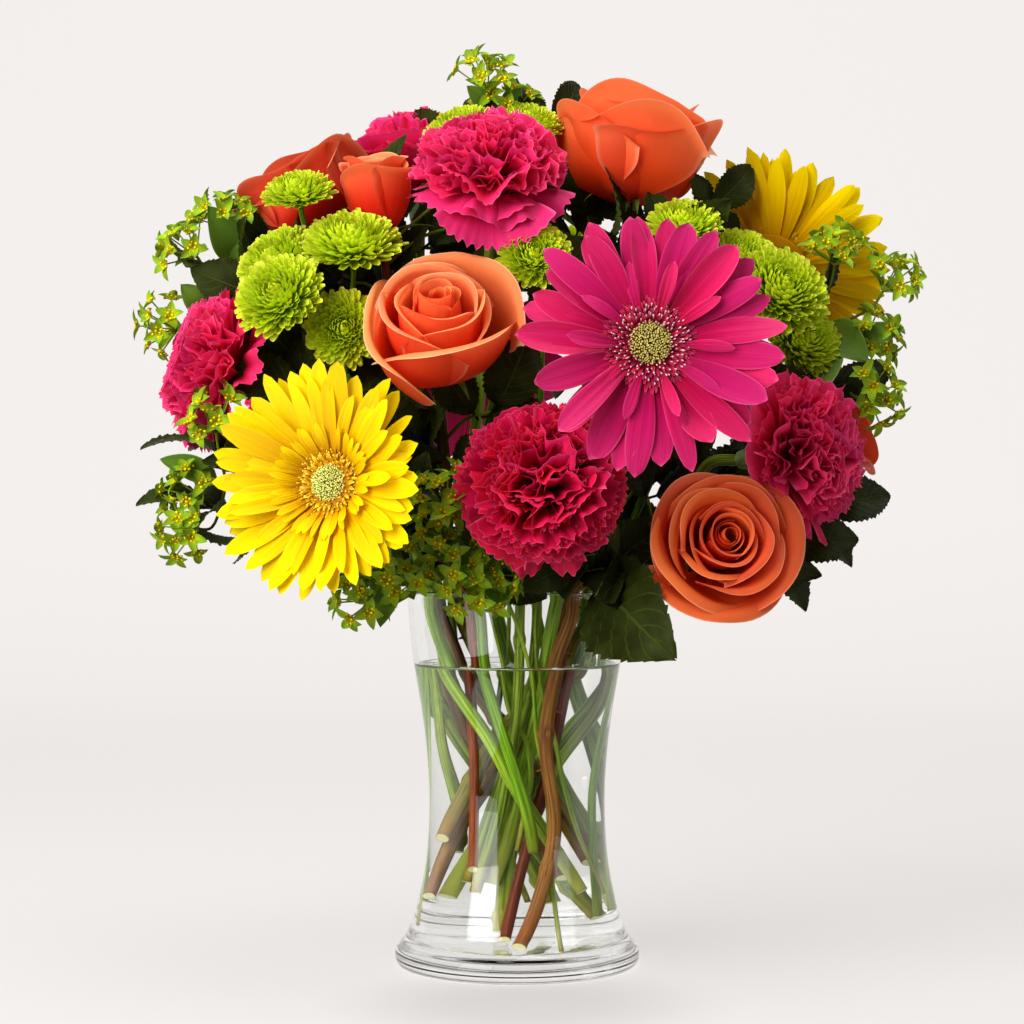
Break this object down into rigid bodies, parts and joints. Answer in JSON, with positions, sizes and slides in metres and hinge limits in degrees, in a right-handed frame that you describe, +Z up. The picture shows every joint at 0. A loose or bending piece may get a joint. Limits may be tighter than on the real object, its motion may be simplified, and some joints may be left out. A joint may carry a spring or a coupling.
{
  "type": "flower bouquet in a glass vase",
  "caption": "Mixed bouquet of gerberas, roses, carnations, button chrysanthemums and bupleurum in a waisted clear glass vase of water.",
  "frame": {"origin": "centre of the vase's flat foot, on the surface it stands on", "axes": "+Z up along the vase, -Y towards the front of the bouquet, +X to the right seen from the front"},
  "size_m": [0.4, 0.3138, 0.4714],
  "materials": {
    "clear_glass": "clear soda-lime glass, fire polished",
    "water": "clear tap water, stands in as a solid",
    "green_stem": "fresh green flower stem, satin",
    "rose_stem": "woody rose stem, brown to olive, with serrated leaves",
    "yellow_petals": "bright yellow gerbera rays, soft satin",
    "magenta_petals": "magenta gerbera rays, soft satin",
    "coral_petals": "coral-orange rose petals, velvety",
    "pink_petals": "hot pink ruffled carnation petals, velvety",
    "lime_petals": "lime green button chrysanthemum petals",
    "sprig_green": "bupleurum stems, leaves and yellow-green bracts"
  },
  "bodies": {
    "root": {"bupleurum_front": "sprig_green", "bupleurum_left": "sprig_green", "bupleurum_low_left": "sprig_green", "bupleurum_right": "sprig_green", "bupleurum_top": "sprig_green", "button_bloom_back_1": "lime_petals", "button_bloom_back_2": "lime_petals", "button_bloom_left_1": "lime_petals", "button_bloom_left_2": "lime_petals", "button_bloom_left_3": "lime_petals", "button_bloom_left_4": "lime_petals", "button_bloom_left_5": "lime_petals", "button_bloom_right_1": "lime_petals", "button_bloom_right_2": "lime_petals", "button_bloom_right_3": "lime_petals", "button_bloom_right_4": "lime_petals", "button_bloom_right_5": "lime_petals", "button_bloom_top_1": "lime_petals", "button_bloom_top_2": "lime_petals", "button_bloom_top_3": "lime_petals", "button_spray_back_stem": "green_stem", "button_spray_left_stem": "green_stem", "button_spray_right_stem": "green_stem", "button_spray_top_stem": "green_stem", "carnation_back_left_bloom": "pink_petals", "carnation_back_left_stem": "green_stem", "carnation_front_bloom": "pink_petals", "carnation_front_stem": "green_stem", "carnation_left_bloom": "pink_petals", "carnation_left_stem": "green_stem", "carnation_right_bloom": "pink_petals", "carnation_right_stem": "green_stem", "carnation_top_back_bloom": "pink_petals", "carnation_top_back_stem": "green_stem", "carnation_top_bloom": "pink_petals", "carnation_top_stem": "green_stem", "gerbera_magenta_back_head": "magenta_petals", "gerbera_magenta_back_stem": "green_stem", "gerbera_magenta_head": "magenta_petals", "gerbera_magenta_stem": "green_stem", "gerbera_yellow_left_head": "yellow_petals", "gerbera_yellow_left_stem": "green_stem", "gerbera_yellow_right_head": "yellow_petals", "gerbera_yellow_right_stem": "green_stem", "glass_vase": "clear_glass", "rose_back_bloom": "coral_petals", "rose_back_stem": "rose_stem", "rose_bud_bloom": "coral_petals", "rose_bud_stem": "rose_stem", "rose_front_bloom": "coral_petals", "rose_front_stem": "rose_stem", "rose_left_back_bloom": "coral_petals", "rose_left_back_stem": "rose_stem", "rose_lower_right_bloom": "coral_petals", "rose_lower_right_stem": "rose_stem", "rose_right_back_bloom": "coral_petals", "rose_right_back_stem": "rose_stem", "rose_top_bloom": "coral_petals", "rose_top_stem": "rose_stem", "water": "water"}
  },
  "joints": []
}
